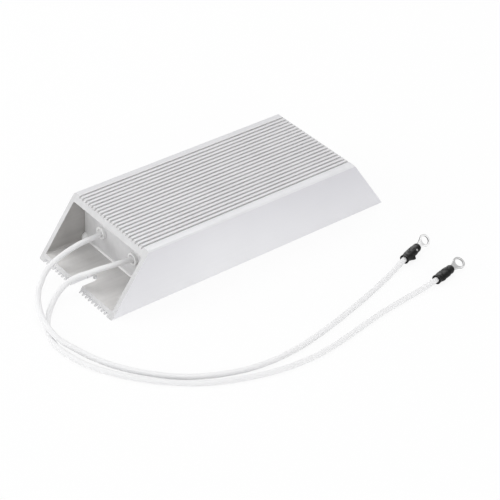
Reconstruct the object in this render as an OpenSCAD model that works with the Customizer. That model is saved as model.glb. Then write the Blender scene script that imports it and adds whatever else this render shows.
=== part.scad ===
// Aluminium housed power resistor with two flexible leads.
// Millimetres. X runs along the body with the lead end at -X, Z is up, and the origin is
// the middle of the ribbed mounting face.

/* [Housing] */
// Length of the mounting face
body_l = 165; // [140:1:200]
// Width of the extrusion
body_w = 60; // [50:1:80]
// Height of the extrusion
body_h = 30; // [28:0.5:33]
// Thickness of the side walls
side_wall = 2.5; // [2:0.1:3.5]
// Thickness of the roof over its ribs
roof_t = 3.4; // [2.6:0.1:4.5]
// Thickness of the floor over its ribs
floor_t = 3; // [2.4:0.1:4]
// Radius of the upper long edges
top_edge_r = 1.5; // [0.6:0.1:2]
// Radius of the lower long edges
foot_edge_r = 0.8; // [0.4:0.1:1.5]
// Radius in the corners of the cavity
cavity_r = 0.8; // [0.3:0.1:1.5]
// How far each end leans in from floor to roof
mitre_run = 21; // [12:0.5:23]

/* [Grooves] */
// Distance between neighbouring grooves
groove_pitch = 2.5; // [2:0.1:4]
// Least distance from a side to the middle of the outer groove
groove_margin = 5; // [3.5:0.5:8]
// Width of a roof groove
top_groove_w = 1.1; // [0.6:0.1:1.6]
// Depth of a roof groove
top_groove_d = 1.1; // [0.5:0.1:1.5]
// Width of a floor groove
foot_groove_w = 1.5; // [0.6:0.1:1.6]
// Depth of a floor groove
foot_groove_d = 1.5; // [0.5:0.1:1.8]

/* [Mounting slots] */
// Width of the open slots, for M6 screws
slot_w = 7; // [5:0.1:8.5]
// Distance from the end of the body to the seat of the screw
slot_seat = 8.5; // [6:0.5:14]

/* [End plates] */
// Distance from the end of the body to the face of an end plate
plate_recess = 24.6; // [22:0.2:30]
// Thickness of an end plate
plate_t = 1.5; // [1:0.1:2.5]
// Gap between an end plate and the cavity walls
plate_gap = 0.1; // [0.05:0.05:0.2]
// Size of the sealant bead along a plate's foot
bead_size = 0.8; // [0.5:0.1:1.4]
// Radius of the sealant dab in the corner
dab_r = 2.4; // [1.5:0.1:3]
// Height of the dab's middle above the floor
dab_rise = 1.6; // [0.5:0.1:2.5]

/* [Bushings] */
// Distance between the two bushings
bushing_spacing = 25.8; // [22:0.2:30]
// Outer diameter of a bushing's nose
bushing_d = 6.2; // [5.6:0.1:7]
// Bore of a bushing
bushing_bore = 3.1; // [3.1:0.1:3.5]
// Diameter of the bell mouth that the bore opens into
bell_d = 4.4; // [4.2:0.1:4.8]
// Depth of that bell mouth
bell_depth = 1.5; // [1.2:0.1:2]
// How far a bushing's nose stands out of the plate
bushing_proud = 1.3; // [0.4:0.1:1.8]
// Diameter of the collar behind the plate
collar_d = 9; // [8:0.1:12]
// Thickness of the collar
collar_t = 2; // [1.2:0.1:3]
// Gap between a nose and its hole in the plate
nose_gap = 0.05; // [0.02:0.01:0.1]

/* [Wound cores] */
// Diameter of a ceramic core
core_d = 14; // [11:0.2:15]
// Bore of a ceramic core
core_bore = 6; // [4:0.2:8]
// Length of lead in the packing, between a splice and the end plate
lead_in = 6.4; // [5:0.1:12]
// Width of the resistance ribbon
ribbon_w = 2; // [1:0.1:2.6]
// Thickness of the resistance ribbon
ribbon_t = 0.5; // [0.3:0.05:0.8]
// Distance between turns of the ribbon
turn_pitch = 4; // [3:0.1:6]
// Wall of a core cap
cap_t = 1; // [0.5:0.1:1.2]
// How far a cap reaches along its core
cap_reach = 6; // [4:0.5:8]
// Diameter of a splice
splice_d = 4; // [3.4:0.1:6]
// Length of a splice
splice_l = 7; // [5:0.1:7.4]
// Depth of a splice's two crimp dents
dent_depth = 0.5; // [0.2:0.1:1]
// Width of the strap between the far caps
strap_w = 8; // [5:0.5:12]
// Thickness of that strap
strap_t = 1; // [0.5:0.1:1.5]

/* [Insulation] */
// Thickness of a mica sheet
mica_t = 0.6; // [0.3:0.1:1]
// Room that the packing leaves round the ribbon and the leads
packing_gap = 0.1; // [0.05:0.05:0.2]

/* [Leads] */
// Diameter of a lead over its braid
lead_d = 2.7; // [2.2:0.1:2.9]

/* [Terminals] */
// Length of a terminal's sleeve
sleeve_l = 12.2; // [11:0.2:18]
// Outer diameter of the sleeve
sleeve_d = 4.4; // [4.2:0.1:4.6]
// Bore of the sleeve, which grips the barrel
sleeve_bore = 3; // [2.9:0.1:3.2]
// Length of the slightly flared mouth
mouth_l = 2; // [1:0.2:3]
// How much wider in radius the mouth is
mouth_flare = 0.15; // [0.05:0.05:0.3]
// Length of the sleeve's narrowing nose
nose_taper = 1.2; // [0.8:0.2:2]
// Wall of the sleeve at the tip of its nose
nose_wall = 0.4; // [0.2:0.05:0.5]
// Width that the crimping tool squeezed the sleeve out to
crimp_w = 4.9; // [4.8:0.1:5.2]
// Where that wide stretch starts
crimp_start = 2.8; // [2:0.2:3.6]
// Length of that wide stretch
crimp_l = 5.6; // [5:0.2:6]
// Thickness of the flanks that it squeezed out
flank_t = 1.2; // [0.8:0.1:1.6]
// Length of the crimp barrel
barrel_l = 5.6; // [4:0.2:7]
// Bore of the crimp barrel
barrel_bore = 1.8; // [1.4:0.1:2.2]
// Depth of that bore
barrel_bore_l = 3.6; // [2:0.2:3.8]
// Distance from the sleeve to the middle of the ring
ring_reach = 6.3; // [5:0.1:8]
// Outer diameter of the ring
ring_d = 6.2; // [6:0.1:8]
// Hole in the ring, for an M4 stud
ring_hole = 4.3; // [3.2:0.1:4.8]
// Thickness of the tongue and the ring
tongue_t = 0.8; // [0.5:0.1:1]
// Width of the tongue where it leaves the barrel
neck_w = 2.8; // [2:0.1:3]
// Width of the tongue where it ends in the ring
shoulder_w = 5; // [3:0.1:6]

/* [Hidden] */
$fn = 64;
EPS = 0.01;

// The cavity of the extrusion, and the axes of the two wound cores in it
cavity_w = body_w - 2 * side_wall;
cavity_h = body_h - roof_t - floor_t;
axis_y = bushing_spacing / 2;
axis_z = floor_t + cavity_h / 2;
groove_count = 2 * floor((body_w / 2 - groove_margin) / groove_pitch) + 1;

// Places along the body
plate_face = body_l / 2 - plate_recess;
plate_back = plate_face - plate_t;
splice_face = plate_back - lead_in;
cap_face = splice_face - splice_l;
core_end = cap_face - cap_t;
cap_edge = core_end - cap_reach;

// The ribbon is a helix of flat facets that touch the core at their middles
turn_steps = 12;
turn_count = floor((2 * cap_edge - ribbon_w) / turn_pitch);
ribbon_inner_r = core_d / 2 / cos(180 / turn_steps);
ribbon_outer_r = ribbon_inner_r + ribbon_t;

// A lead runs straight from its splice through the plate, leans off by its bend, and then goes
// through these points, whose X is measured from the lead end of the body
lead_sides = 8;
BEND_A = [-4.1, 0.1, -1.1];
BEND_B = [-3.1, 0.5, -0.3];
ROUTE_A = [
    [13.5, 13.4, 13.1], [7, 13.4, 11.9], [1, 13.3, 10.2], [-4, 13.1, 8], [-8.5, 11.6, 6],
    [-13, 8, 4.8], [-17, 4, 4.3], [-20.5, -1, 4.25], [-24, -7.5, 4.25], [-26.9, -15, 4.25],
    [-28.5, -22, 4.25], [-29, -28.5, 3.9], [-28.1, -33, 3.2], [-26.2, -38.5, 2.5],
    [-23.1, -47, 1.7], [-19.1, -56, 1.4], [-14, -64.5, 1.4], [-7.3, -73, 1.4],
    [0.8, -81, 1.4], [9.8, -87, 1.4], [20, -91.7, 1.4], [31.5, -95, 1.4],
    [44.5, -96.3, 1.4], [58.5, -95.6, 1.4], [73.5, -93.1, 1.4], [89.5, -89.5, 1.4],
    [104.5, -85.6, 1.4], [118.5, -81.4, 1.4], [128.5, -78.2, 1.6]
];
ROUTE_B = [
    [17, -10.9, 13.9], [13, -9.2, 12.9], [9, -7.3, 11.8], [5, -5.2, 10.3], [1.5, -2.9, 8.8],
    [-2, -1.4, 7.3], [-5.5, -1.1, 5.7], [-9.5, -2.1, 4.3], [-14.5, -4.8, 2.9],
    [-19.5, -9, 1.9], [-23.5, -13.5, 1.5], [-27.1, -19, 1.4], [-29.5, -24.5, 1.4],
    [-30.8, -30, 1.4], [-30.8, -36, 1.4], [-29.5, -43.5, 1.4], [-27, -51.5, 1.4],
    [-23.5, -58.5, 1.4], [-18, -67, 1.4], [-11, -75.5, 1.4], [-3, -83.2, 1.4],
    [5.5, -89.8, 1.4], [15, -95, 1.4], [25.5, -99.2, 1.4], [36.5, -102.4, 1.4],
    [48.5, -104.4, 1.4], [61, -104.8, 1.4], [74, -103.5, 1.4], [88.5, -101.1, 1.4],
    [102.5, -98.8, 1.4], [116.5, -97.4, 1.4], [128.5, -96.6, 1.6]
];
// Where each sleeve's mouth lies, how its terminal is turned (roll, pitch and heading), how the
// flanks of its crimp are rolled from there, and how far along and aside the ear on one flank is
LEAD_END = [-body_l / 2, 0, 0];
PLACE_A = LEAD_END + [138.35, -75.12, 2.68];
TURN_A = [46, -3.5, 15.3];
CRIMP_ROLL_A = -16;
EAR_A = [5.5, -3.7];
PLACE_B = LEAD_END + [139.94, -95.78, 2.4];
TURN_B = [28, -0.5, 11];
CRIMP_ROLL_B = 0;
EAR_B = [4.2, -2.7];

// ---------------------------------------------------------------- functions

function unit(v) = v / norm(v);

// Axis of a terminal turned by roll, pitch and heading, from its sleeve's mouth to its ring
function terminal_axis(turn) =
    [cos(turn[1]) * cos(turn[2]), cos(turn[1]) * sin(turn[2]), -sin(turn[1])];

// Middle line of a lead, from the face of its splice to the face of its crimp barrel
function lead_line(side, bend, route, place, turn) = concat(
    [for (x = [splice_face, plate_face]) [-x, side * axis_y, axis_z]],
    [[-plate_face, side * axis_y, axis_z] + bend],
    [for (p = route) LEAD_END + p],
    [for (x = [0, sleeve_l - barrel_l]) place + x * terminal_axis(turn)]
);

function tangent(p, i) = unit(p[min(i + 1, len(p) - 1)] - p[max(i - 1, 0)]);

// Corners of a tube's ring round point i; both ends stay square to the tube
function tube_ring(p, i, r, sides) =
    let (along = tangent(p, i), side = unit(cross([0, 0, 1], along)), up = cross(along, side))
    [for (k = [0 : sides - 1])
        p[i] + r * (cos(360 * k / sides) * side + sin(360 * k / sides) * up)];

// Faces of a closed tube with the given rings
function tube_faces(rings, sides) = concat(
    [[for (k = [sides - 1 : -1 : 0]) k]],
    [for (i = [0 : rings - 2], k = [0 : sides - 1])
        let (a = i * sides + k, b = i * sides + (k + 1) % sides)
        each [[a, b, b + sides], [a, b + sides, a + sides]]],
    [[for (k = [0 : sides - 1]) (rings - 1) * sides + k]]
);

// Corners of the ribbon's section at angle a, for an end that starts at x
function ribbon_section(x, a) = [
    for (c = [[0, ribbon_inner_r], [0, ribbon_outer_r], [ribbon_w, ribbon_outer_r],
              [ribbon_w, ribbon_inner_r]])
        [x + c[0], c[1] * cos(a), c[1] * sin(a)]
];

// ---------------------------------------------------------------- profiles

// Rectangle on the Y axis with its own radius for the lower and the upper corners
module rounded_section(w, h, low_r, high_r) {
    union() {
        translate([-w / 2, low_r]) square([w, h - low_r - high_r]);
        translate([-w / 2 + low_r, 0]) square([w - 2 * low_r, h / 2]);
        translate([-w / 2 + high_r, h / 2]) square([w - 2 * high_r, h / 2]);
        for (side = [-1, 1]) {
            translate([side * (w / 2 - low_r), low_r]) circle(r = low_r);
            translate([side * (w / 2 - high_r), h - high_r]) circle(r = high_r);
        }
    }
}

module cavity_section(gap = 0) {
    translate([0, floor_t + gap])
        rounded_section(cavity_w - 2 * gap, cavity_h - 2 * gap, cavity_r, cavity_r);
}

module groove_row(w, depth, z) {
    for (i = [0 : groove_count - 1])
        translate([(i - (groove_count - 1) / 2) * groove_pitch - w / 2, z])
            square([w, depth]);
}

module housing_section() {
    difference() {
        rounded_section(body_w, body_h, foot_edge_r, top_edge_r);
        cavity_section();
        groove_row(top_groove_w, top_groove_d + EPS, body_h - top_groove_d);
        groove_row(foot_groove_w, foot_groove_d + EPS, -EPS);
    }
}

// Stands a section up across the body and runs it from x0 to x1
module along_body(x0, x1) {
    translate([x0, 0, 0]) rotate([90, 0, 90]) linear_extrude(x1 - x0) children();
}

// Rod along X from x0 to x1
module rod(x0, x1, d) {
    translate([x0, 0, 0]) rotate([0, 90, 0]) cylinder(d = d, h = x1 - x0);
}

// Puts its children on the axis of wound core a (side 1) or b (side -1)
module on_axis(side) {
    translate([0, side * axis_y, axis_z]) children();
}

// ---------------------------------------------------------------- shell

// What the slanted cut takes off the lead end
module end_wedge() {
    translate([-body_l / 2, body_w, 0]) rotate([90, 0, 0]) linear_extrude(2 * body_w)
        polygon([[-body_w, -body_h], [-mitre_run, -body_h], [2 * mitre_run, 2 * body_h],
                 [-body_w, 2 * body_h]]);
}

module end_slot() {
    translate([-body_l / 2 + slot_seat, 0, -EPS]) cylinder(d = slot_w, h = floor_t + 2 * EPS);
    translate([-body_l / 2 - EPS, -slot_w / 2, -EPS])
        cube([slot_seat + EPS, slot_w, floor_t + 2 * EPS]);
}

module housing() {
    color([0.86, 0.87, 0.88]) difference() {
        along_body(-body_l / 2, body_l / 2) housing_section();
        for (end = [0, 1]) mirror([end, 0, 0]) {
            end_wedge();
            end_slot();
        }
    }
}

// ---------------------------------------------------------------- end plates

module plate_blank() {
    along_body(-plate_face, -plate_back) cavity_section(plate_gap);
}

module lead_end_plate() {
    color([0.7, 0.7, 0.68]) difference() {
        plate_blank();
        for (side = [-1, 1]) on_axis(side)
            rod(-plate_face - EPS, -plate_back + EPS, bushing_d + 2 * nose_gap);
    }
}

module blank_end_plate() {
    color([0.7, 0.7, 0.68]) mirror([1, 0, 0]) plate_blank();
}

// Quarter-round bead along the foot of a plate, with a dab in one corner
module sealant() {
    run = cavity_w - 2 * cavity_r;
    foot_z = floor_t;
    intersection() {
        union() {
            translate([-plate_face, run / 2, foot_z]) rotate([90, 0, 0])
                cylinder(r = bead_size, h = run);
            translate([-plate_face, run / 2, foot_z + dab_rise]) sphere(r = dab_r);
        }
        translate([-plate_face - body_w, -run / 2, foot_z]) cube([body_w, run, cavity_h / 2]);
    }
}

module lead_end_sealant() {
    color([0.93, 0.93, 0.91]) sealant();
}

module blank_end_sealant() {
    color([0.93, 0.93, 0.91]) rotate([0, 0, 180]) sealant();
}

// ---------------------------------------------------------------- bushings

module bushing(side) {
    color([0.94, 0.94, 0.92]) on_axis(side) difference() {
        union() {
            rod(-plate_face - bushing_proud, -plate_back, bushing_d);
            rod(-plate_back, -plate_back + collar_t, collar_d);
        }
        rod(-plate_face - bushing_proud - EPS, -plate_back + collar_t + EPS, bushing_bore);
        translate([-plate_face - bushing_proud, 0, 0]) rotate([0, 90, 0])
            cylinder(d1 = bell_d, d2 = bushing_bore, h = bell_depth);
    }
}

module bushing_a() {
    bushing(1);
}

module bushing_b() {
    bushing(-1);
}

// ---------------------------------------------------------------- wound cores

module core(side) {
    color([0.88, 0.86, 0.8]) on_axis(side) difference() {
        rod(-core_end, core_end, core_d);
        rod(-core_end - EPS, core_end + EPS, core_bore);
    }
}

module core_a() {
    core(1);
}

module core_b() {
    core(-1);
}

// Resistance ribbon wound round a core in one open helix
module winding(side) {
    steps = turn_count * turn_steps;
    start_x = -(turn_count * turn_pitch + ribbon_w) / 2;
    corners = [
        for (i = [0 : steps])
            each ribbon_section(start_x + i * turn_pitch / turn_steps, 360 * i / turn_steps)
    ];
    color([0.55, 0.53, 0.5]) on_axis(side)
        polyhedron(points = corners, faces = tube_faces(steps + 1, 4), convexity = 10);
}

module winding_a() {
    winding(1);
}

module winding_b() {
    winding(-1);
}

// Metal cap pressed over the lead end of a core
module core_cap(side) {
    color([0.75, 0.75, 0.74]) on_axis(side) difference() {
        rod(-cap_face, -cap_edge, core_d + 2 * cap_t);
        rod(-core_end, -cap_edge + EPS, core_d);
    }
}

module lead_end_cap_a() {
    core_cap(1);
}

module lead_end_cap_b() {
    core_cap(-1);
}

module far_end_cap_a() {
    mirror([1, 0, 0]) core_cap(1);
}

module far_end_cap_b() {
    mirror([1, 0, 0]) core_cap(-1);
}

// Strap with round ends, welded across the two far caps
module strap() {
    x1 = cap_face + strap_t;
    for (side = [-1, 1]) on_axis(side) rod(cap_face, x1, strap_w);
    translate([cap_face, -axis_y, axis_z - strap_w / 2])
        cube([x1 - cap_face, 2 * axis_y, strap_w]);
}

module link_strap() {
    color([0.72, 0.72, 0.7]) strap();
}

// Crimped splice between a cap and its lead
module splice(side) {
    dent_x = [splice_face - splice_l / 3, splice_face - 2 * splice_l / 3];
    color([0.78, 0.62, 0.42]) on_axis(side) difference() {
        rod(-splice_face, -cap_face, splice_d);
        for (x = dent_x) translate([-x, splice_d / 2, splice_d - dent_depth])
            rotate([90, 0, 0]) cylinder(r = splice_d / 2, h = splice_d);
    }
}

module splice_a() {
    splice(1);
}

module splice_b() {
    splice(-1);
}

// ---------------------------------------------------------------- insulation

module mica_section(z) {
    translate([-cavity_w / 2 + cavity_r, z]) square([cavity_w - 2 * cavity_r, mica_t]);
}

module lower_mica() {
    color([0.8, 0.74, 0.6]) along_body(-plate_back, plate_back) mica_section(floor_t);
}

module upper_mica() {
    color([0.8, 0.74, 0.6]) along_body(-plate_back, plate_back)
        mica_section(body_h - roof_t - mica_t);
}

// Everything that the packing is rammed round, on the axis of one core
module packed_round() {
    rod(-plate_back - EPS, -plate_back + collar_t, collar_d);
    rod(-plate_back, -splice_face, lead_d + 2 * packing_gap);
    rod(-splice_face, -cap_face, splice_d);
    for (end = [0, 1]) mirror([end, 0, 0]) rod(-cap_face, -cap_edge, core_d + 2 * cap_t);
    rod(-cap_edge, cap_edge, 2 * (ribbon_outer_r + packing_gap));
}

module packing() {
    color([0.83, 0.8, 0.74]) difference() {
        along_body(-plate_back, plate_back) difference() {
            cavity_section();
            mica_section(floor_t);
            mica_section(body_h - roof_t - mica_t);
        }
        for (side = [-1, 1]) on_axis(side) packed_round();
        strap();
    }
}

// ---------------------------------------------------------------- leads

module lead(line) {
    corners = [
        for (i = [0 : len(line) - 1]) each tube_ring(line, i, lead_d / 2, lead_sides)
    ];
    color([0.93, 0.93, 0.91])
        polyhedron(points = corners, faces = tube_faces(len(line), lead_sides), convexity = 10);
}

module lead_a() {
    lead(lead_line(1, BEND_A, ROUTE_A, PLACE_A, TURN_A));
}

module lead_b() {
    lead(lead_line(-1, BEND_B, ROUTE_B, PLACE_B, TURN_B));
}

// ---------------------------------------------------------------- terminals

// Black soft sleeve that lies along X from its mouth: a flared mouth, a barrel that grips the
// crimp, the flanks and the ear that the crimping tool squeezed out, and a rounded nose
module sleeve(crimp_roll, ear) {
    bore_r = sleeve_bore / 2;
    outer_r = sleeve_d / 2;
    crimp_end = crimp_start + crimp_l;
    difference() {
        union() {
            rotate([0, 90, 0]) rotate_extrude()
                polygon([[0, 0], [outer_r + mouth_flare, 0], [outer_r, mouth_l],
                         [outer_r, sleeve_l - nose_taper], [bore_r + nose_wall, sleeve_l],
                         [0, sleeve_l]]);
            rotate([crimp_roll, 0, 0]) translate([0, 0, -flank_t / 2]) linear_extrude(flank_t)
                polygon([[crimp_start - flank_t, 0], [crimp_start, crimp_w / 2],
                         [crimp_end, crimp_w / 2], [crimp_end + flank_t, 0],
                         [crimp_end, -crimp_w / 2], [ear[0] + flank_t, -crimp_w / 2], ear,
                         [crimp_start, -crimp_w / 2]]);
        }
        rotate([0, 90, 0]) rotate_extrude()
            polygon([[0, -EPS], [bore_r + mouth_flare, -EPS], [bore_r, mouth_l],
                     [bore_r, sleeve_l + EPS], [0, sleeve_l + EPS]]);
    }
}

module terminal_sleeve_a() {
    color([0.12, 0.12, 0.13]) translate(PLACE_A) rotate(TURN_A) sleeve(CRIMP_ROLL_A, EAR_A);
}

module terminal_sleeve_b() {
    color([0.12, 0.12, 0.13]) translate(PLACE_B) rotate(TURN_B) sleeve(CRIMP_ROLL_B, EAR_B);
}

// Ring, tongue and crimp barrel, pressed from one strip
module ring_terminal() {
    ring_x = sleeve_l + ring_reach;
    difference() {
        union() {
            translate([sleeve_l - barrel_l, 0, 0]) rod(0, barrel_l, sleeve_bore);
            translate([ring_x, 0, -tongue_t / 2]) cylinder(d = ring_d, h = tongue_t);
            translate([sleeve_l, 0, -tongue_t / 2]) linear_extrude(tongue_t)
                polygon([[0, -neck_w / 2], [ring_reach, -shoulder_w / 2],
                         [ring_reach, shoulder_w / 2], [0, neck_w / 2]]);
        }
        translate([ring_x, 0, -tongue_t]) cylinder(d = ring_hole, h = 2 * tongue_t);
        translate([sleeve_l - barrel_l - EPS, 0, 0]) rod(0, barrel_bore_l, barrel_bore);
    }
}

module ring_terminal_a() {
    color([0.8, 0.8, 0.81]) translate(PLACE_A) rotate(TURN_A) ring_terminal();
}

module ring_terminal_b() {
    color([0.8, 0.8, 0.81]) translate(PLACE_B) rotate(TURN_B) ring_terminal();
}

housing();
lead_end_plate();
blank_end_plate();
lead_end_sealant();
blank_end_sealant();
bushing_a();
bushing_b();
core_a();
core_b();
winding_a();
winding_b();
lead_end_cap_a();
lead_end_cap_b();
far_end_cap_a();
far_end_cap_b();
link_strap();
splice_a();
splice_b();
lower_mica();
upper_mica();
packing();
lead_a();
lead_b();
terminal_sleeve_a();
terminal_sleeve_b();
ring_terminal_a();
ring_terminal_b();
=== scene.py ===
# Aluminium housed power resistor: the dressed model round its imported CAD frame.
# Everything is in metres in the row frame: X along the body, Z up, the lead end at -X.
import math

import bmesh
import bpy
from mathutils import Matrix, Vector, noise


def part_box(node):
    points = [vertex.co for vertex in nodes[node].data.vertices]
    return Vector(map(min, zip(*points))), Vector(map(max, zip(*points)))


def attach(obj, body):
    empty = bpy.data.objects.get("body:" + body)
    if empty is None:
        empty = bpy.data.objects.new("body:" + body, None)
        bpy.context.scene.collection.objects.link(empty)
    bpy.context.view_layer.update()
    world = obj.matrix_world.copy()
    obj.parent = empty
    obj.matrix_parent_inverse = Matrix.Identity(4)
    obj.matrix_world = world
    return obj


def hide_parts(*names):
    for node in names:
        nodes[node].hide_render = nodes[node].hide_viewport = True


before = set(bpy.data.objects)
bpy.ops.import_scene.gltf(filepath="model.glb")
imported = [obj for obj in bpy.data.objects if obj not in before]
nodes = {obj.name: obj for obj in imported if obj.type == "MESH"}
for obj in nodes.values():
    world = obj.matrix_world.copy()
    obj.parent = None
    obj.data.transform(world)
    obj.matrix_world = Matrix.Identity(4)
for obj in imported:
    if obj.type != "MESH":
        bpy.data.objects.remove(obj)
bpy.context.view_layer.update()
MM = 0.001
BODY = "root"

# ------------------------------------------------------------------ sizes, from the frame

housing_lo, housing_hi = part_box("housing")
BODY_L = housing_hi.x - housing_lo.x
BODY_W = housing_hi.y - housing_lo.y
BODY_H = housing_hi.z - housing_lo.z
LEAD_END = Vector((housing_lo.x, 0, 0))
PLATE_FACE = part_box("lead_end_plate")[0].x
SPLICE_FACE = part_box("splice_a")[0].x
AXES = {}
for letter in "ab":
    lo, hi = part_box("bushing_" + letter)
    AXES[letter] = (lo + hi) / 2

# ------------------------------------------------------------------ camera

AZIMUTH, ELEVATION, ROLL = (math.radians(v) for v in (-39.84, 35.65, 2.46))
DISTANCE, LENS_MM = 0.85, 126.5
AIM_RIGHT, AIM_UP = 16.3 * MM, -22.1 * MM

back = Vector((
    math.sin(AZIMUTH) * math.cos(ELEVATION),
    -math.cos(AZIMUTH) * math.cos(ELEVATION),
    math.sin(ELEVATION),
))
level_right = Vector((math.cos(AZIMUTH), math.sin(AZIMUTH), 0))
level_up = back.cross(level_right)
right = math.cos(ROLL) * level_right + math.sin(ROLL) * level_up
up = math.cos(ROLL) * level_up - math.sin(ROLL) * level_right
aim = Vector((0, 0, BODY_H / 2)) + AIM_RIGHT * right + AIM_UP * up

camera_data = bpy.data.cameras.new("camera")
camera_data.lens = LENS_MM
camera = bpy.data.objects.new("camera", camera_data)
camera.matrix_world = Matrix.Translation(aim + DISTANCE * back) @ Matrix(
    (right, up, back)
).transposed().to_4x4()
bpy.context.collection.objects.link(camera)
bpy.context.scene.camera = camera

# ------------------------------------------------------------------ mesh helpers


SHARP_EDGE = math.radians(30)


def linked(name, data):
    """Object with the data, linked to the scene."""
    obj = bpy.data.objects.new(name, data)
    bpy.context.collection.objects.link(obj)
    return obj


def add_piece(name, mesh, replaced):
    """Links a smooth mesh as a piece of the body, in the record's slot, for a CAD node."""
    obj = linked(name, mesh)
    for face in mesh.polygons:
        face.use_smooth = True
    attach(obj, BODY)
    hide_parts(replaced)
    return obj


def mesh_from(bm, name):
    """Turns a bmesh into a mesh with its normals outwards."""
    bmesh.ops.recalc_face_normals(bm, faces=bm.faces)
    mesh = bpy.data.meshes.new(name)
    bm.to_mesh(mesh)
    bm.free()
    return mesh


def evaluated_mesh(obj):
    """Mesh of an object with its modifiers or its curve's bevel applied."""
    bpy.context.view_layer.update()
    return bpy.data.meshes.new_from_object(
        obj.evaluated_get(bpy.context.evaluated_depsgraph_get()))


def band(bm, first, second):
    """Faces between two closed rings of vertices."""
    count = len(first)
    return [bm.faces.new((first[k], first[(k + 1) % count], second[(k + 1) % count], second[k]))
            for k in range(count)]


def weld(bm):
    bmesh.ops.remove_doubles(bm, verts=bm.verts, dist=0.001 * MM)


def bevel(obj, width, segments=2):
    """Rounds the sharp edges of a piece or a CAD node."""
    rounding = obj.modifiers.new("edges", "BEVEL")
    rounding.width = width
    rounding.segments = segments
    rounding.limit_method = "ANGLE"
    rounding.angle_limit = SHARP_EDGE
    rounding.harden_normals = True


def split_at(obj, angle):
    """Shades the edges over an angle as sharp ones."""
    obj.modifiers.new("flats", "EDGE_SPLIT").split_angle = math.radians(angle)


def smooth_line(points, spacing):
    """Points at about the given spacing on a Catmull-Rom curve through the points."""
    line = []
    for i in range(len(points) - 1):
        a, b = points[max(i - 1, 0)], points[i]
        c, d = points[i + 1], points[min(i + 2, len(points) - 1)]
        steps = max(1, round((c - b).length / spacing))
        for k in range(steps):
            t = k / steps
            line.append(0.5 * (
                2 * b + (c - a) * t + (2 * a - 5 * b + 4 * c - d) * t ** 2
                + (3 * b - a - 3 * c + d) * t ** 3
            ))
    line.append(points[-1])
    return line


def frames_along(line):
    """Tangent and two steady cross directions at each point of a line."""
    result = []
    side = Vector((0, 1, 0))
    for i in range(len(line)):
        along = (line[min(i + 1, len(line) - 1)] - line[max(i - 1, 0)]).normalized()
        side = (side - side.dot(along) * along).normalized()
        result.append((along, side, along.cross(side)))
    return result


def tube(line, radius_at, sides):
    """bmesh of a closed tube round a line, with a UV map: metres along, turns around."""
    bm = bmesh.new()
    uv = bm.loops.layers.uv.new("along_around")
    rings, travelled, distance = [], [], 0.0
    for i, (point, (_, side, over)) in enumerate(zip(line, frames_along(line))):
        if i:
            distance += (point - line[i - 1]).length
        travelled.append(distance)
        ring = []
        for k in range(sides):
            angle = 2 * math.pi * k / sides
            r = radius_at(distance, angle)
            ring.append(bm.verts.new(
                point + r * (math.cos(angle) * side + math.sin(angle) * over)))
        rings.append(ring)
    for i in range(len(rings) - 1):
        for k, face in enumerate(band(bm, rings[i], rings[i + 1])):
            spots = ((i, k), (i, k + 1), (i + 1, k + 1), (i + 1, k))
            for loop, (row, turn) in zip(face.loops, spots):
                loop[uv].uv = (travelled[row], turn / sides)
    bm.faces.new(rings[0][::-1])
    bm.faces.new(rings[-1])
    return bm


# ------------------------------------------------------------------ leads

LEAD_D, LEAD_LENGTH, LEAD_SIDES = 2.7 * MM, 302 * MM, 20
MESH_STEP, ROUTE_STEP = 0.8 * MM, 2 * MM
# The braid's mean radius and how much it varies, as shares, and how many swells a metre has
BRAID_MEAN, BRAID_SWELL, SWELLS = 0.985, 0.02, 260
SLEEVE_L, BARREL_L, RING_REACH = 12.2 * MM, 5.6 * MM, 6.3 * MM
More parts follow.
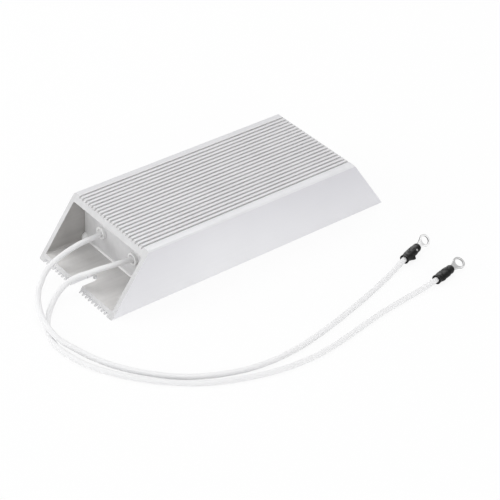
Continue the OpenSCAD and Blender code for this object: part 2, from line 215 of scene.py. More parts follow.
# How a lead leans off its bushing's axis, then the points it goes through from the lead end of
# the body, where its sleeve's mouth lies, the terminal's roll, pitch and heading in degrees, how
# the flanks of the crimp are rolled from there, and how far along and aside its ear reaches
LEADS = {
    "a": {
        "bend": (-4.1, 0.1, -1.1),
        "route": [
            (13.5, 13.4, 13.1), (7, 13.4, 11.9), (1, 13.3, 10.2), (-4, 13.1, 8),
            (-8.5, 11.6, 6), (-13, 8, 4.8), (-17, 4, 4.3), (-20.5, -1, 4.25),
            (-24, -7.5, 4.25), (-26.9, -15, 4.25), (-28.5, -22, 4.25), (-29, -28.5, 3.9),
            (-28.1, -33, 3.2), (-26.2, -38.5, 2.5), (-23.1, -47, 1.7), (-19.1, -56, 1.4),
            (-14, -64.5, 1.4), (-7.3, -73, 1.4), (0.8, -81, 1.4), (9.8, -87, 1.4),
            (20, -91.7, 1.4), (31.5, -95, 1.4), (44.5, -96.3, 1.4), (58.5, -95.6, 1.4),
            (73.5, -93.1, 1.4), (89.5, -89.5, 1.4), (104.5, -85.6, 1.4),
            (118.5, -81.4, 1.4), (128.5, -78.2, 1.6),
        ],
        "place": (138.35, -75.12, 2.68),
        "turn": (46, -3.5, 15.3),
        "crimp_roll": -16,
        "ear": (5.5, 3.7),
    },
    "b": {
        "bend": (-3.1, 0.5, -0.3),
        "route": [
            (17, -10.9, 13.9), (13, -9.2, 12.9), (9, -7.3, 11.8), (5, -5.2, 10.3),
            (1.5, -2.9, 8.8), (-2, -1.4, 7.3), (-5.5, -1.1, 5.7), (-9.5, -2.1, 4.3),
            (-14.5, -4.8, 2.9), (-19.5, -9, 1.9), (-23.5, -13.5, 1.5), (-27.1, -19, 1.4),
            (-29.5, -24.5, 1.4), (-30.8, -30, 1.4), (-30.8, -36, 1.4), (-29.5, -43.5, 1.4),
            (-27, -51.5, 1.4), (-23.5, -58.5, 1.4), (-18, -67, 1.4), (-11, -75.5, 1.4),
            (-3, -83.2, 1.4), (5.5, -89.8, 1.4), (15, -95, 1.4), (25.5, -99.2, 1.4),
            (36.5, -102.4, 1.4), (48.5, -104.4, 1.4), (61, -104.8, 1.4), (74, -103.5, 1.4),
            (88.5, -101.1, 1.4), (102.5, -98.8, 1.4), (116.5, -97.4, 1.4),
            (128.5, -96.6, 1.6),
        ],
        "place": (139.94, -95.78, 2.4),
        "turn": (28, -0.5, 11),
        "crimp_roll": 0,
        "ear": (4.2, 2.7),
    },
}


def terminal_matrix(lead):
    """Place and turn of a terminal, whose own X runs from its sleeve's mouth to its ring."""
    roll, pitch, heading = (math.radians(v) for v in lead["turn"])
    return (
        Matrix.Translation(LEAD_END + MM * Vector(lead["place"]))
        @ Matrix.Rotation(heading, 4, "Z")
        @ Matrix.Rotation(pitch, 4, "Y")
        @ Matrix.Rotation(roll, 4, "X")
    )


def lead_points(letter):
    """Middle line of a lead from its splice to its crimp barrel."""
    lead, axis = LEADS[letter], AXES[letter]
    terminal = terminal_matrix(lead)
    start = Vector((PLATE_FACE, axis.y, axis.z))
    return (
        [Vector((SPLICE_FACE, axis.y, axis.z)), start, start + MM * Vector(lead["bend"])]
        + [LEAD_END + MM * Vector(p) for p in lead["route"]]
        + [terminal @ Vector((x, 0, 0)) for x in (0, SLEEVE_L - BARREL_L)]
    )


def lead_radius(distance, angle):
    """The braid's outside is a little uneven."""
    seed = Vector((distance * SWELLS, math.cos(angle), math.sin(angle)))
    return LEAD_D / 2 * (BRAID_MEAN + BRAID_SWELL * noise.noise(seed))


lead_pieces = {}
for letter in "ab":
    line = smooth_line(lead_points(letter), MESH_STEP)
    name = "braided_lead_" + letter
    lead_pieces[letter] = add_piece(
        name, mesh_from(tube(line, lead_radius, LEAD_SIDES), name),
        "lead_" + letter)

# ------------------------------------------------------------------ terminals

SLEEVE_D, SLEEVE_BORE = 4.4 * MM, 3.0 * MM
MOUTH_L, MOUTH_FLARE = 2 * MM, 0.15 * MM
NOSE_L, NOSE_WALL = 1.2 * MM, 0.4 * MM
CRIMP_START, CRIMP_END, CRIMP_W, CRIMP_H = 2.8 * MM, 8.4 * MM, 4.9 * MM, 4.1 * MM
# How far the crimp eases in before it starts, is full after, and eases out past its end, and the
# same for its ear
CRIMP_IN, CRIMP_FULL, CRIMP_OUT = 1.2 * MM, 0.4 * MM, 1.4 * MM
EAR_IN, EAR_FULL, EAR_OUT, EAR_SHARPNESS = 0.6 * MM, 0.2 * MM, 1.1 * MM, 20
VINYL_UNEVEN, VINYL_LUMPS = 0.012, 500
SLEEVE_SIDES, SLEEVE_STEPS, BORE_STRIDE = 64, 72, 9
RING_D, RING_HOLE, TONGUE_T, NECK_W = 6.2 * MM, 4.3 * MM, 0.8 * MM, 2.8 * MM
# Where the neck begins to widen past the sleeve, how long its bend's arm is, at which angle it
# meets the ring, and how rounded the tongue's edges are
NECK_START, NECK_ARM, NECK_JOIN, RING_EDGE = 0.3 * MM, 1.3 * MM, math.radians(128), 0.14 * MM
NECK_STEPS, RING_STEPS, HOLE_STEPS, TONGUE_INSET = 8, 32, 64, 1 * MM
BARREL_D, BARREL_BORE, BARREL_BORE_L = 3 * MM, 1.8 * MM, 3.6 * MM
BARREL_CHAMFER, BARREL_SIDES = 0.3 * MM, 32


def smoothstep(low, high, x):
    t = min(max((x - low) / (high - low), 0), 1)
    return t * t * (3 - 2 * t)


def sleeve_radius(x, angle, lead):
    """Outside of a crimped soft sleeve at x from its mouth; its ear is on the -Y side."""
    r = SLEEVE_D / 2 + MOUTH_FLARE * (1 - smoothstep(0, MOUTH_L, x))
    nose = smoothstep(SLEEVE_L - NOSE_L, SLEEVE_L, x)
    r -= nose * nose * (SLEEVE_D / 2 - SLEEVE_BORE / 2 - NOSE_WALL)
    squeezed = (smoothstep(CRIMP_START - CRIMP_IN, CRIMP_START + CRIMP_FULL, x)
                - smoothstep(CRIMP_END, CRIMP_END + CRIMP_OUT, x))
    wide, high = (CRIMP_W - SLEEVE_D) / 2, (CRIMP_H - SLEEVE_D) / 2
    flank = angle - math.radians(lead["crimp_roll"])
    r += squeezed * (wide * math.cos(flank) ** 2 + high * math.sin(flank) ** 2)
    ear_x, ear_r = (v * MM for v in lead["ear"])
    rise = (smoothstep(CRIMP_START - EAR_IN, ear_x + EAR_FULL, x)
            - smoothstep(ear_x, ear_x + EAR_OUT, x))
    r += (ear_r - CRIMP_W / 2) * max(rise, 0) * max(0.0, -math.cos(flank)) ** EAR_SHARPNESS
    seed = Vector((x * VINYL_LUMPS, math.cos(angle), math.sin(angle)))
    return r * (1 + VINYL_UNEVEN * noise.noise(seed))


def round_rings(bm, rows):
    """Rings of vertices about X; each row holds one place along X and radius for each side."""
    rings = []
    for row in rows:
        angles = (2 * math.pi * k / len(row) for k in range(len(row)))
        rings.append([bm.verts.new((x, r * math.cos(a), r * math.sin(a)))
                      for (x, r), a in zip(row, angles)])
    return rings


def sleeve_mesh(letter):
    """Open soft tube with a flared mouth, a squeezed crimp with its ear, and a nose."""
    bm = bmesh.new()
    rows = []
    for i in range(SLEEVE_STEPS + 1):
        x = SLEEVE_L * i / SLEEVE_STEPS
        rows.append([(x, sleeve_radius(x, 2 * math.pi * k / SLEEVE_SIDES, LEADS[letter]))
                     for k in range(SLEEVE_SIDES)])
    rows.append([(SLEEVE_L, SLEEVE_BORE / 2)] * SLEEVE_SIDES)
    for i in range(SLEEVE_STEPS, -1, -BORE_STRIDE):
        x = SLEEVE_L * i / SLEEVE_STEPS
        flare = MOUTH_FLARE * (1 - smoothstep(0, MOUTH_L, x))
        rows.append([(x, SLEEVE_BORE / 2 + flare)] * SLEEVE_SIDES)
    rings = round_rings(bm, rows)
    for i, ring in enumerate(rings):
        band(bm, ring, rings[(i + 1) % len(rings)])
    weld(bm)
    bmesh.ops.transform(bm, matrix=terminal_matrix(LEADS[letter]), verts=bm.verts)
    return mesh_from(bm, "soft_sleeve_" + letter)


def circle_point(radius, angle):
    """Point of a circle about the ring's middle."""
    return (SLEEVE_L + RING_REACH + radius * math.cos(angle), radius * math.sin(angle))


def ring_outline():
    """Half outline of the tongue and the ring, from the barrel to the ring's tip."""
    points = [(SLEEVE_L - BARREL_L + TONGUE_INSET, NECK_W / 2)]
    end = Vector(circle_point(RING_D / 2, NECK_JOIN))
    start = Vector((SLEEVE_L + NECK_START, NECK_W / 2))
    bend = Vector((start.x + NECK_ARM, start.y))
    for i in range(NECK_STEPS + 1):
        t = i / NECK_STEPS
        p = (1 - t) ** 2 * start + 2 * t * (1 - t) * bend + t * t * end
        points.append((p.x, p.y))
    return points + [circle_point(RING_D / 2, NECK_JOIN * (1 - i / RING_STEPS))
                     for i in range(1, RING_STEPS + 1)]


def flat_ring(name):
    """Mesh of the flat ring and tongue, with rounded edges."""
    curve = bpy.data.curves.new(name, "CURVE")
    curve.dimensions = "2D"
    curve.fill_mode = "BOTH"
    curve.extrude = TONGUE_T / 2 - RING_EDGE
    curve.bevel_depth = RING_EDGE
    curve.bevel_resolution = 3
    curve.offset = -RING_EDGE
    half = ring_outline()
    outline = half + [(x, -y) for x, y in half[-2::-1]]
    hole = [circle_point(RING_HOLE / 2, 2 * math.pi * k / HOLE_STEPS)
            for k in range(HOLE_STEPS)]
    for points in (outline, hole):
        spline = curve.splines.new("POLY")
        spline.points.add(len(points) - 1)
        spline.use_cyclic_u = True
        for spot, (x, y) in zip(spline.points, points):
            spot.co = (x, y, 0, 1)
    carrier = linked(name, curve)
    mesh = evaluated_mesh(carrier)
    bpy.data.objects.remove(carrier)
    return mesh


def add_barrel(bm):
    """Adds the crimp barrel that the tongue grows out of, open towards the lead."""
    start, radius, bore = SLEEVE_L - BARREL_L, BARREL_D / 2, BARREL_BORE / 2
    profile = [
        (0, bore), (0, radius), (BARREL_L - BARREL_CHAMFER, radius),
        (BARREL_L, radius - BARREL_CHAMFER), (BARREL_L, 0), (BARREL_BORE_L, 0),
        (BARREL_BORE_L, bore),
    ]
    rings = round_rings(bm, [[(start + x, r)] * BARREL_SIDES for x, r in profile])
    for i, ring in enumerate(rings):
        band(bm, ring, rings[(i + 1) % len(rings)])


def ring_mesh(letter):
    """Tinned ring and tongue, slot 1 for its edge walls, which take a painted shade, with its
    barrel.
    """
    name = "tinned_ring_" + letter
    flat = flat_ring(name)
    bm = bmesh.new()
    bm.from_mesh(flat)
    bpy.data.meshes.remove(flat)
    weld(bm)
    for face in bm.faces:
        face.material_index = 1 if abs(face.normal.z) < 0.5 else 0
    add_barrel(bm)
    weld(bm)
    bmesh.ops.transform(bm, matrix=terminal_matrix(LEADS[letter]), verts=bm.verts)
    return mesh_from(bm, name)


terminals = {}
for letter in "ab":
    sleeve = add_piece("soft_sleeve_" + letter, sleeve_mesh(letter),
                       "terminal_sleeve_" + letter)
    ring = add_piece("tinned_ring_" + letter, ring_mesh(letter),
                     "ring_terminal_" + letter)
    split_at(ring, 35)
    terminals[letter] = (sleeve, ring)
    line = lead_points(letter)

# ------------------------------------------------------------------ housing

SIDE_WALL, ROOF_T, FLOOR_T = 2.5 * MM, 3.4 * MM, 3 * MM
TOP_R, FOOT_R, CAVITY_R = 1.5 * MM, 0.8 * MM, 0.8 * MM
MITRE_RUN = 21 * MM
PITCH, MARGIN = 2.5 * MM, 5 * MM
TOP_GROOVE = (1.1 * MM, 1.1 * MM)
FOOT_GROOVE = (1.5 * MM, 1.5 * MM)
SLOT_W, SLOT_SEAT = 7 * MM, 8.5 * MM
ROUND_STEPS, SLOT_STEPS, EDGE_R = 6, 24, 0.16 * MM
HAIR = 0.01 * MM


def corner(y, z, radius, first):
    """Points of a quarter round, from the first angle on, turning left."""
    angles = [math.radians(first + 90 * k / ROUND_STEPS) for k in range(ROUND_STEPS + 1)]
    return [(y + radius * math.cos(a), z + radius * math.sin(a)) for a in angles]


def groove_points(z, inwards, width, depth):
    """Points of a row of grooves, in the direction of rising Y."""
    count = int((BODY_W / 2 - MARGIN + HAIR) / PITCH)
    points = []
    for i in range(-count, count + 1):
        y = i * PITCH
        points += [(y - width / 2, z), (y - width / 2, z + inwards * depth),
                   (y + width / 2, z + inwards * depth), (y + width / 2, z)]
    return points


def outer_section():
    """Outline of the extrusion with the grooves of its foot and roof."""
    half, top = BODY_W / 2, BODY_H
    return (
        groove_points(0, 1, *FOOT_GROOVE)
        + corner(half - FOOT_R, FOOT_R, FOOT_R, -90)
        + corner(half - TOP_R, top - TOP_R, TOP_R, 0)
        + groove_points(top, -1, *TOP_GROOVE)[::-1]
        + corner(-half + TOP_R, top - TOP_R, TOP_R, 90)
        + corner(-half + FOOT_R, FOOT_R, FOOT_R, 180)
    )


def cavity_section():
    """Outline of the room inside the extrusion."""
    half, low, high = BODY_W / 2 - SIDE_WALL, FLOOR_T, BODY_H - ROOF_T
    return (
        corner(half - CAVITY_R, low + CAVITY_R, CAVITY_R, -90)
        + corner(half - CAVITY_R, high - CAVITY_R, CAVITY_R, 0)
        + corner(-half + CAVITY_R, high - CAVITY_R, CAVITY_R, 90)
        + corner(-half + CAVITY_R, low + CAVITY_R, CAVITY_R, 180)
    )


def closed_solid(first, second):
    """Object with faces round and over two rings of points."""
    bm = bmesh.new()
    near, far = ([bm.verts.new(point) for point in ring] for ring in (first, second))
    band(bm, near, far)
    bm.faces.new(near)
    bm.faces.new(far)
    return linked("cutter", mesh_from(bm, "cutter"))


def prism(section, end_x):
    """Object with the section along X; end_x(z) is how far each end reaches."""
    return closed_solid([(-end_x(z), y, z) for y, z in section],
                        [(end_x(z), y, z) for y, z in section])


def slot_cutter(end):
    """Stadium that cuts the open slot at one end of the floor."""
    seat = BODY_L / 2 - SLOT_SEAT
    outline = [(BODY_L, -SLOT_W / 2), (BODY_L, SLOT_W / 2)]
    outline += [(seat - SLOT_W / 2 * math.sin(a), SLOT_W / 2 * math.cos(a))
                for a in (math.pi * k / SLOT_STEPS for k in range(SLOT_STEPS + 1))]
    return closed_solid([(end * x, y, -FLOOR_T) for x, y in outline],
                        [(end * x, y, 2 * FLOOR_T) for x, y in outline])


def housing_mesh():
    """The mitred extrusion, hollowed and slotted."""
    solid = prism(outer_section(), lambda z: BODY_L / 2 - MITRE_RUN * z / BODY_H)
    cutters = [prism(cavity_section(), lambda z: BODY_L), slot_cutter(1), slot_cutter(-1)]
    for cutter in cutters:
        cut = solid.modifiers.new("cut", "BOOLEAN")
        cut.object = cutter
        cut.operation = "DIFFERENCE"
        cut.solver = "EXACT"
    mesh = evaluated_mesh(solid)
    mesh.name = "ribbed_housing"
    for obj in [solid] + cutters:
        bpy.data.objects.remove(obj)
    return mesh


def mark_finishes(mesh):
    """Slot 1 for the sawn ends, 2 and 3 for the cavity's walls and floor, 4 for the grooves and
    5 for the sides."""
    inside_y, low, high = BODY_W / 2 - SIDE_WALL, FLOOR_T, BODY_H - ROOF_T
    groove_y, groove_z = BODY_W / 2 - MARGIN + PITCH, BODY_H - TOP_GROOVE[1]
    for face in mesh.polygons:
        spot = face.center
        if abs(face.normal.x) > 0.3:
            face.material_index = 1
        elif abs(spot.y) < inside_y + HAIR and low - HAIR < spot.z < high + HAIR:
            face.material_index = 3 if face.normal.z > 0.9 else 2
        elif abs(spot.y) < groove_y and groove_z - HAIR < spot.z < BODY_H - HAIR:
            face.material_index = 4
        elif abs(face.normal.y) > 0.9 and abs(spot.y) > inside_y:
            face.material_index = 5


housing = add_piece("ribbed_housing", housing_mesh(), "housing")
mark_finishes(housing.data)
bevel(housing, EDGE_R)

# ------------------------------------------------------------------ sealant

BEAD, DAB_R, DAB_RISE = 0.8 * MM, 2.3 * MM, 1.6 * MM
# The bead's mean size and how much it varies, as shares, the dab's lumps as a share, and how many
# lumps a metre has
BEAD_MEAN, BEAD_UNEVEN, DAB_LUMPY, LUMPS = 0.82, 0.14, 0.16, 420
BEAD_STEPS, BEAD_SIDES = 220, 10


def into_corner(across, height):
    """The nearest place inside the cavity's rounded lower corner."""
    run, low = BODY_W / 2 - SIDE_WALL - CAVITY_R, FLOOR_T + CAVITY_R
    across, height = min(across, run + CAVITY_R), max(height, FLOOR_T)
    past, below = across - run, low - height
    beyond = math.hypot(past, below)
    if past > 0 and below > 0 and beyond > CAVITY_R:
        return run + past * CAVITY_R / beyond, low - below * CAVITY_R / beyond
    return across, height


def add_dab(bm, end, run, face_x):
    """Adds the lumpy dab of sealant in the corner at one end of a bead."""
    for vert in bmesh.ops.create_icosphere(bm, subdivisions=5, radius=DAB_R)["verts"]:
        spot = vert.co * (1 + DAB_LUMPY * noise.noise(vert.co * LUMPS))
        across, height = into_corner(run + spot.y, FLOOR_T + DAB_RISE + spot.z)
        vert.co = (end * (face_x + max(spot.x, 0)), end * -across, height)


def sealant_mesh(name, end):
    """Uneven bead of sealant along a plate's foot, with its dab."""
    bm = bmesh.new()
    run = BODY_W / 2 - SIDE_WALL - CAVITY_R
    face_x = abs(PLATE_FACE)
    add_dab(bm, end, run, face_x)
    angles = [math.pi / 2 * k / BEAD_SIDES for k in range(BEAD_SIDES + 1)]
    rows = []
    for i in range(BEAD_STEPS + 1):
        y = -run + 2 * run * i / BEAD_STEPS
        size = BEAD * (BEAD_MEAN + BEAD_UNEVEN * noise.noise(Vector((y * LUMPS, 3.1, 0))))
        round_points = [(face_x + size * math.cos(a), FLOOR_T + size * math.sin(a))
                        for a in angles]
        rows.append([bm.verts.new((end * x, end * -y, z))
                     for x, z in round_points + [(face_x, FLOOR_T)]])
    for first, second in zip(rows, rows[1:]):
        band(bm, first, second)
    bm.faces.new(rows[0])
    bm.faces.new(rows[-1])
    return mesh_from(bm, name)


beads = [add_piece(place + "_bead", sealant_mesh(place + "_bead", end),
                   place + "_sealant")
         for place, end in (("lead_end", -1), ("blank_end", 1))]
for bead in beads:
    split_at(bead, 50)

# ------------------------------------------------------------------ materials


def add_node(tree, kind, links=None, **settings):
    """Adds a node; links go from sockets to inputs, and settings set the rest."""
    made = tree.nodes.new("ShaderNode" + kind)
    for key, value in settings.items():
        setattr(made, key, value)
    for key, value in (links or {}).items():
        if isinstance(value, bpy.types.NodeSocket):
            tree.links.new(value, made.inputs[key])
        else:
            made.inputs[key].default_value = value
    return made


class Shader:
    """A Principled material that is built up node by node."""

    def __init__(self, name, **sockets):
        self.material = bpy.data.materials.new(name)
        self.material.use_nodes = True
        self.tree = self.material.node_tree
        self.bsdf = self.tree.nodes["Principled BSDF"]
        self.coords = self.tree.nodes.new("ShaderNodeTexCoord")
        for socket, value in sockets.items():
            self.bsdf.inputs[socket.replace("_", " ")].default_value = value

    def node(self, kind, links=None, **settings):
        return add_node(self.tree, kind, links, **settings)

    def separate(self, source):
        """X, Y and Z of one of the texture coordinates."""
        return self.node("SeparateXYZ", {"Vector": self.coords.outputs[source]}).outputs

    def scaled(self, *scale):
        """Coordinates in metres stretched by a scale for each axis."""
        mapping = self.node("Mapping", {"Vector": self.coords.outputs["Object"],
                                        "Scale": scale})
        return mapping.outputs["Vector"]

    def noise(self, vector, scale, detail=3.0, roughness=0.5):
        made = self.node("TexNoise", {"Vector": vector, "Scale": scale, "Detail": detail,
                                      "Roughness": roughness})
        return made.outputs["Fac"]

    def math(self, operation, a, b=0.0):
        return self.node("Math", {0: a, 1: b}, operation=operation).outputs[0]

    def weighted(self, first, share, second, other):
        """first * share + second * other"""
        return self.math("ADD", self.math("MULTIPLY", first, share),
                         self.math("MULTIPLY", second, other))

    def remap(self, value, low, high, from_low=0.3, from_high=0.7):
        """Clamped range; what noise gives lies mostly between 0.3 and 0.7."""
        made = self.node("MapRange", {"Value": value, "From Min": from_low,
                                      "From Max": from_high, "To Min": low, "To Max": high})
        return made.outputs["Result"]

    def blend(self, factor, first, second):
        made = self.node("Mix", {"Factor": factor, "A": first, "B": second},
                         data_type="RGBA")
        return made.outputs["Result"]

    def colour(self, source):
        self.tree.links.new(source, self.bsdf.inputs["Base Color"])

    def roughness(self, source):
        self.tree.links.new(source, self.bsdf.inputs["Roughness"])

    def bump(self, height, distance, strength=1.0):
        made = self.node("Bump", {"Height": height, "Distance": distance,
                                  "Strength": strength})
        self.tree.links.new(made.outputs["Normal"], self.bsdf.inputs["Normal"])


def grey(value, red=0.0, blue=0.0):
    """Colour of a grey, with red and blue added."""
    return (value + red, value, value + blue, 1.0)


def speckled(name, dark, light, scale, rough, grain, **sockets):
    """Material with cloudy colour, uneven roughness and a fine grain."""
    shader = Shader(name, **sockets)
    vector = shader.scaled(1, 1, 1)
    cloud = shader.noise(vector, scale, 4.0, 0.6)
    fine = shader.noise(vector, scale * 14, 2.0)
    shader.colour(shader.blend(shader.remap(cloud, 0, 1), dark, light))
    shader.roughness(shader.remap(fine, *rough))
    shader.bump(fine, grain)
    return shader.material


def painted_shade_amount(shader):
    """How much painted shade a side takes: 0 at the middle of its foot, 1 at its top corners."""
    along, _, height = shader.separate("Object")
    aside = shader.math("ABSOLUTE", shader.math("ADD", along, 24 * MM))
    reach = shader.math("ADD", shader.math("MULTIPLY", height, 4.1), aside)
    return shader.remap(reach, 0, 1, 0.01, 0.2)


def aluminium(name, dark, light, rough, streak=(6, 900, 900), patches=45.0, painted_shade=None):
    """Aluminium with cloudy patches, faint streaks and a fine grain, and where asked a painted
    shade that darkens towards a side's top corners and ends.
    """
    shader = Shader(name, Metallic=0.6)
    place = shader.scaled(1, 1, 1)
    lines = shader.noise(shader.scaled(*streak), 1.0, 3.0)
    cloud = shader.noise(place, patches, 3.0)
    fine = shader.noise(place, 5200.0, 2.0)
    tone = shader.remap(shader.weighted(cloud, 0.6, lines, 0.4), 0, 1)
    surface = shader.blend(tone, dark, light)
    if painted_shade:
        # Painted shade: the colour goes darker from the middle of the foot towards the top
        # corners and the ends.
        surface = shader.blend(painted_shade_amount(shader), surface, painted_shade)
    shader.colour(surface)
    shader.roughness(shader.remap(fine, *rough))
    shader.bump(shader.weighted(fine, 0.7, lines, 0.3), 0.02 * MM, 0.6)
    return shader.material


def sheet_material():
    """Dull cut sheet with a smear of sealant beside the -Y side wall and a fainter lighter strip
    of painted light beside the +Y wall.
    """
    shader = Shader("cut_sheet", Metallic=0.2)
    place = shader.scaled(1, 1, 1)
    cloud = shader.noise(place, 110.0, 4.0, 0.6)
    fine = shader.noise(place, 1500.0, 2.0)
    bare = shader.blend(shader.remap(cloud, 0, 1),
                        grey(0.65, 0.002, 0.006), grey(0.78, 0.002, 0.01))
    across = shader.node("SeparateXYZ", {"Vector": place}).outputs["Y"]
    edge = shader.math("ADD", across, shader.math("MULTIPLY", cloud, 5 * MM))
    # Lighter beside the -Y wall for a sealant smear, and beside the +Y wall as painted light.
    smear_and_painted_light = shader.math("ADD", shader.remap(edge, 1, 0, -18 * MM, -16 * MM),
                        shader.remap(edge, 0, 0.7, 22 * MM, 27 * MM))
    shader.colour(shader.blend(smear_and_painted_light, bare, grey(0.88)))
    shader.roughness(shader.remap(fine, 0.42, 0.6))
    shader.bump(shader.math("ADD", fine, shader.math("MULTIPLY", cloud, 2.0)), 0.03 * MM)
    return shader.material


def braid_material():
    """Over-and-under braid of white glass yarn, laid out along and around the lead."""
    strands, lay = 8, 15 * MM
    shader = Shader("glass_braid", Roughness=0.75)
    along, around, _ = shader.separate("UV")
    climb = shader.math("MULTIPLY", along, strands / lay)
    turn = shader.math("MULTIPLY", around, strands)
    over = shader.math("ADD", climb, turn)
    under = shader.math("SUBTRACT", climb, turn)
    rounds = [
        shader.math("SINE", shader.math("MULTIPLY", shader.math("FRACT", s), math.pi))
        for s in (over, under)
    ]
    parity = shader.math("FLOORED_MODULO", shader.math(
        "ADD", shader.math("FLOOR", over), shader.math("FLOOR", under)), 2.0)
    crown = shader.node("Mix", {"Factor": parity, "A": rounds[0], "B": rounds[1]},
                        data_type="FLOAT").outputs["Result"]
    fuzz = shader.noise(shader.scaled(1, 1, 1), 3800.0, 3.0)
    shade = shader.weighted(crown, 0.75, fuzz, 0.25)
    shader.colour(shader.blend(shader.remap(shade, 0, 1, 0.1, 0.8),
                               grey(0.855, 0.0, 0.006), grey(0.89, 0.0, 0.006)))
    shader.bump(crown, 0.02 * MM, 0.15)
    return shader.material


# Painted glint on the far sleeve, from its mouth, in mm
PAINTED_GLINT_SPOT = (8.7, -0.4, 2.1)


def vinyl_material():
    """Soft black vinyl with painted light, a little mottled, on the flanks that face up and
    towards +Y, and a painted glint past one crimp.
    """
    shader = Shader("soft_vinyl", Specular_IOR_Level=0.12)
    place = shader.scaled(1, 1, 1)
    cloud = shader.noise(place, 520.0, 3.0, 0.6)
    fine = shader.noise(place, 4200.0, 2.0)
    _, aside, upwards = shader.separate("Normal")
    # Painted light: lighter where the surface faces up and towards +Y.
    facing = shader.weighted(aside, 0.6, upwards, 0.8)
    painted_light_side = shader.math("MULTIPLY", shader.remap(facing, 0.05, 1, 0.25, 0.95),
                        shader.remap(cloud, 0.25, 1, 0.42, 0.58))
    # Painted glint: a grey spot on the black vinyl where the crimp's shoulder shines.
    painted_glint = terminal_matrix(LEADS["a"]) @ (MM * Vector(PAINTED_GLINT_SPOT))
    away = shader.node("VectorMath", {0: place, 1: painted_glint},
                       operation="DISTANCE").outputs["Value"]
    shader.colour(shader.blend(shader.remap(away, 0.9, 0, 0.35 * MM, 0.65 * MM),
                               shader.blend(painted_light_side, grey(0.004), grey(0.17)), grey(0.52)))
    shader.roughness(shader.remap(fine, 0.3, 0.5))
    shader.bump(cloud, 0.15 * MM)
    return shader.material


def assign(obj, material):
    """Every face of the piece or the CAD node takes the material."""
    slots = obj.data.materials
    if not slots:
        slots.append(material)
    for i in range(len(slots)):
        slots[i] = material


shell = aluminium("anodised_shell", grey(0.79, 0, 0.016), grey(0.84, 0, 0.016), (0.46, 0.56))
# The sides: painted light and shade, lighter at the middle of the foot and darker towards the top
# corners and ends.
flank = aluminium("side_painted_shade", grey(0.85, 0, 0.018), grey(0.89, 0, 0.018), (0.46, 0.56),
                  painted_shade=grey(0.7, 0.004, 0.034))
# The roof's grooves: the shell's aluminium painted darker as painted shade in the grooves.
painted_groove_shade = aluminium("groove_painted_shade", grey(0.75, 0.002, 0.002), grey(0.8, 0.002, 0.002),
                    (0.45, 0.55))
sawn = aluminium("sawn_end", grey(0.52, 0, 0.004), grey(0.61, 0, 0.004), (0.45, 0.6),
                 (400, 400, 90))
# The cavity's walls and floor: the aluminium painted darker and warmer as painted shade inside
# the recess.
painted_wall_shade = aluminium("cavity_wall_painted_shade", grey(0.44, 0.01, -0.012), grey(0.54, 0.01, -0.012),
                 (0.4, 0.55), (14, 500, 500), 120.0)
painted_floor_shade = aluminium("cavity_floor_painted_shade", grey(0.64, 0.008, -0.008), grey(0.76, 0.008, -0.008),
                  (0.5, 0.65), (14, 500, 500), 140.0)
braid_finish = braid_material()
vinyl = vinyl_material()
tin = speckled("tinned_copper", grey(0.86), grey(0.92), 250, (0.12, 0.22), 0.004 * MM,
               Metallic=1.0)
# The ring's edge walls: the tin painted dark as painted shade and dark reflection.
painted_edge_shade = speckled("ring_edge_painted_shade", grey(0.2), grey(0.34), 900, (0.3, 0.45), 0.01 * MM,
                   Metallic=1.0)
plate_metal = sheet_material()
silicone = speckled("white_silicone", grey(0.95), grey(0.98), 400, (0.3, 0.45), 0.03 * MM)
porcelain = speckled("porcelain", grey(0.88), grey(0.94), 350, (0.35, 0.5), 0.008 * MM)
cordierite = speckled("core_ceramic", grey(0.68, 0.03, -0.06), grey(0.78, 0.03, -0.05), 180,
                      (0.7, 0.85), 0.03 * MM)
alloy = speckled("oxidised_ribbon", grey(0.24, 0.02, -0.015), grey(0.42, 0.02, -0.02), 260,
                 (0.35, 0.55), 0.01 * MM, Metallic=1.0)
plated_steel = speckled("plated_steel", grey(0.55), grey(0.66), 140, (0.25, 0.4), 0.006 * MM,
                        Metallic=1.0)
bare_copper = speckled("bare_copper", (0.6, 0.3, 0.17, 1), (0.78, 0.45, 0.28, 1), 160,
                       (0.25, 0.45), 0.008 * MM, Metallic=1.0)
mica = speckled("bonded_mica", (0.42, 0.35, 0.25, 1), (0.62, 0.54, 0.42, 1), 420, (0.25, 0.5),
                0.02 * MM, Coat_Weight=0.2)
quartz = speckled("bonded_quartz", (0.56, 0.5, 0.42, 1), (0.8, 0.76, 0.68, 1), 700,
                  (0.7, 0.9), 0.08 * MM)

for material in (shell, sawn, painted_wall_shade, painted_floor_shade, painted_groove_shade, flank):
    housing.data.materials.append(material)
for letter in "ab":
    assign(lead_pieces[letter], braid_finish)
    assign(terminals[letter][0], vinyl)
    assign(terminals[letter][1], tin)
    terminals[letter][1].data.materials.append(painted_edge_shade)
for bead in beads:
    assign(bead, silicone)
BUSHING_EDGE_R = 0.25 * MM
NODE_FINISH = {
    plate_metal: ["lead_end_plate", "blank_end_plate"],
    porcelain: ["bushing_a", "bushing_b"],
    cordierite: ["core_a", "core_b"],
    alloy: ["winding_a", "winding_b"],
    plated_steel: ["lead_end_cap_a", "lead_end_cap_b", "far_end_cap_a", "far_end_cap_b",
                   "link_strap"],
    bare_copper: ["splice_a", "splice_b"],
    mica: ["lower_mica", "upper_mica"],
    quartz: ["packing"],
}
for material, names in NODE_FINISH.items():
    for name in names:
        assign(nodes[name], material)
for name in NODE_FINISH[porcelain]:
    bevel(nodes[name], BUSHING_EDGE_R, 3)

# ------------------------------------------------------------------ stage and light

FLOOR_SIZE = 6.0
# The floor's own shade shows by these shares to the camera and in mirrors; the rest is white
SHADE_SHARE, MIRRORED_SHARE = 0.1, 0.05
# Strength of the soft light at the horizon, and from this height of the sky upwards
HORIZON, HIGH_SKY, HIGH_FROM = 0.85, 0.52, 0.6
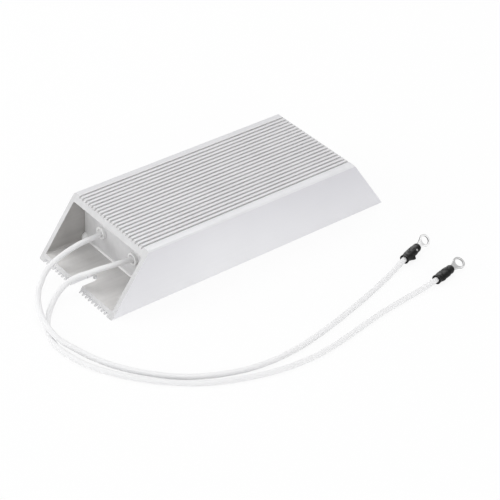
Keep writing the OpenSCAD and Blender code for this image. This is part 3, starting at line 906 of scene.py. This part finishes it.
# Name, place, size and watts of each lamp
LAMPS = [
    ("overhead", (0.1, 0.25, 1.1), 0.9, 4.5),
    ("left", (-1.0, 0.6, 0.5), 0.9, 4.3),
    ("front", (-0.3, -1.15, 0.3), 0.9, 2.9),
    ("right", (0.75, -0.7, 0.65), 0.8, 0.9),
]


def paper_material():
    """Pale paper that the camera and mirrors see as nearly plain white."""
    paper = bpy.data.materials.new("paper")
    paper.use_nodes = True
    tree = paper.node_tree
    surface = tree.nodes["Principled BSDF"]
    surface.inputs["Base Color"].default_value = grey(0.95)
    surface.inputs["Roughness"].default_value = 0.9
    path = add_node(tree, "LightPath").outputs
    white = add_node(tree, "Emission")
    seen = add_node(tree, "Math", {0: path["Is Camera Ray"], 1: 1 - SHADE_SHARE},
                    operation="MULTIPLY")
    mirrored = add_node(
        tree, "Math",
        {0: path["Is Glossy Ray"], 1: 1 - MIRRORED_SHARE, 2: seen.outputs[0]},
        operation="MULTIPLY_ADD")
    plain = add_node(tree, "MixShader", {"Fac": mirrored.outputs[0], 1: surface.outputs["BSDF"],
                                         2: white.outputs["Emission"]})
    tree.links.new(plain.outputs["Shader"], tree.nodes["Material Output"].inputs["Surface"])
    return paper


def studio_world():
    """Soft light that falls off from the horizon up, and a white backdrop for the camera."""
    world = bpy.data.worlds.new("studio")
    world.use_nodes = True
    tree = world.node_tree
    path = add_node(tree, "LightPath").outputs
    towards = add_node(tree, "TexCoord").outputs["Generated"]
    height = add_node(tree, "SeparateXYZ", {0: towards}).outputs["Z"]
    sky = add_node(tree, "MapRange", {"Value": height, "From Max": HIGH_FROM,
                                      "To Min": HORIZON, "To Max": HIGH_SKY})
    soft = tree.nodes["Background"]
    soft.inputs["Color"].default_value = grey(1.0)
    tree.links.new(sky.outputs["Result"], soft.inputs["Strength"])
    backdrop = add_node(tree, "Background", {"Color": grey(1.0), "Strength": 1.0})
    pick = add_node(tree, "MixShader", {"Fac": path["Is Camera Ray"],
                                        1: soft.outputs["Background"],
                                        2: backdrop.outputs["Background"]})
    tree.links.new(pick.outputs["Shader"], tree.nodes["World Output"].inputs["Surface"])
    return world


def area_light(name, place, size, power):
    """Soft square lamp that looks at the body."""
    data = bpy.data.lights.new(name, "AREA")
    data.size = size
    data.energy = power
    lamp = linked(name, data)
    lamp.location = place
    lamp.rotation_euler = (-Vector(place)).to_track_quat("-Z", "Y").to_euler()


bm = bmesh.new()
bmesh.ops.create_grid(bm, x_segments=1, y_segments=1, size=FLOOR_SIZE / 2)
floor = linked("floor", mesh_from(bm, "floor"))
floor.data.materials.append(paper_material())
bpy.context.scene.world = studio_world()
for lamp in LAMPS:
    area_light(*lamp)

bpy.context.scene.view_settings.view_transform = "Standard"
